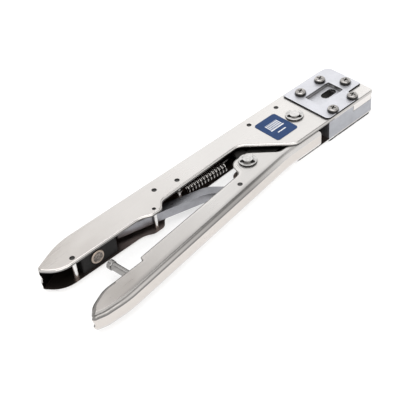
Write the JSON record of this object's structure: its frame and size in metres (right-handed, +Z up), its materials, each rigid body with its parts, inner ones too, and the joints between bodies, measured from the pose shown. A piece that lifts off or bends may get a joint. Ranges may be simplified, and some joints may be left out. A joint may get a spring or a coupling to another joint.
{
  "type": "rj45 crimping tool",
  "caption": "Steel hand crimping tool for modular plugs: two nested channel handles, a die head with a driven ram, a ratchet arm with pawl and a coil return spring.",
  "frame": {"origin": "on the main pivot axis, at the underside of the pivot pin's head, in the plane the tool rests on", "axes": "+X towards the head, +Y towards the closed back of the main handle, +Z up along the pivot axis"},
  "size_m": [0.2385, 0.0579, 0.0209],
  "materials": {
    "stainless_main": "fine brushed stainless sheet",
    "stainless_moving": "fine brushed stainless sheet, a little duller",
    "block_steel": "machined grey steel",
    "plate_steel": "bead-blasted bluish grey",
    "nest_steel": "ground tool steel",
    "blade_steel": "hardened blades",
    "screw_steel": "polished dark steel",
    "label_blue": "printed blue foil plate",
    "pin_steel": "polished pins",
    "ring_steel": "dark spring steel",
    "lever_steel": "dark oiled steel",
    "arm_steel": "bluish grey stamped steel",
    "spring_steel": "bright spring wire",
    "stop_plastic": "black moulded plastic",
    "disc_bronze": "worn grey bronze"
  },
  "bodies": {
    "main_frame": {"main_handle": "stainless_main", "front_spacer_pin": "pin_steel", "rear_spacer_pin": "pin_steel", "spring_post": "pin_steel", "pawl_pin": "pin_steel", "guide_pin": "pin_steel", "tail_spacer_pin": "pin_steel", "head_block": "block_steel", "guide_plate": "plate_steel", "plug_nest": "nest_steel", "cover_plate": "plate_steel", "bottom_plate": "plate_steel", "cover_screws": "screw_steel", "bottom_screws": "screw_steel", "label_plate": "label_blue", "pivot_pin": "pin_steel", "pivot_ring": "ring_steel", "pivot_washers": "lever_steel", "stop_block": "stop_plastic", "stop_disc": "disc_bronze", "pawl_spring": "spring_steel"},
    "handle_body": {"moving_handle": "stainless_moving", "cam_lever": "lever_steel", "link_pin": "pin_steel", "link_ring": "ring_steel", "front_rivet": "pin_steel", "arm_pin": "pin_steel", "spring_stud": "pin_steel", "roller_pin": "pin_steel", "stop_stud": "screw_steel", "stop_cap": "screw_steel", "stop_nut": "screw_steel"},
    "ram_body": {"ram": "nest_steel", "contact_blades": "blade_steel", "strain_relief_tooth": "nest_steel"},
    "arm": {"ratchet_arm": "arm_steel"},
    "pawl_body": {"pawl": "arm_steel"},
    "spring_body": {"return_spring": "spring_steel"},
    "roller": {"drive_roller": "pin_steel"}
  },
  "joints": [
    {"name": "handle_pivot", "type": "hinge", "parent": "main_frame", "child": "handle_body", "pos_m": [0, 0, 0.0092], "axis": [0, 0, 1], "range_deg": [-3, 12], "stiffness_Nm_per_rad": 0.05, "springref_deg": 8.59},
    {"name": "ram_slide", "type": "slide", "parent": "main_frame", "child": "ram_body", "axis": [1, 0, 0], "range_m": [-0.0011, 0.0003]},
    {"name": "arm_pivot", "type": "hinge", "parent": "handle_body", "child": "arm", "pos_m": [-0.0656, -0.0183, 0.0079], "axis": [0, 0, 1], "range_deg": [-24, 6.5]},
    {"name": "spring_swing", "type": "hinge", "parent": "main_frame", "child": "spring_body", "pos_m": [-0.0886, 0.0096, 0.0092], "axis": [0, 0, 1], "range_deg": [-12, 3.5]},
    {"name": "pawl_pivot", "type": "hinge", "parent": "main_frame", "child": "pawl_body", "pos_m": [-0.1031, 0.013, 0.0079], "axis": [0, 0, 1], "range_deg": [-8, 0], "stiffness_Nm_per_rad": 0.01},
    {"name": "roller_spin", "type": "hinge", "parent": "handle_body", "child": "roller", "pos_m": [0.0075, 0.004, 0.0092], "axis": [0, 0, 1], "continuous": true}
  ],
  "couplings": [
    {"joint": "ram_slide", "follows": "handle_pivot", "m_per_rad": -0.0046},
    {"joint": "arm_pivot", "follows": "handle_pivot", "ratio": -1.95},
    {"joint": "spring_swing", "follows": "handle_pivot", "ratio": -0.94}
  ]
}
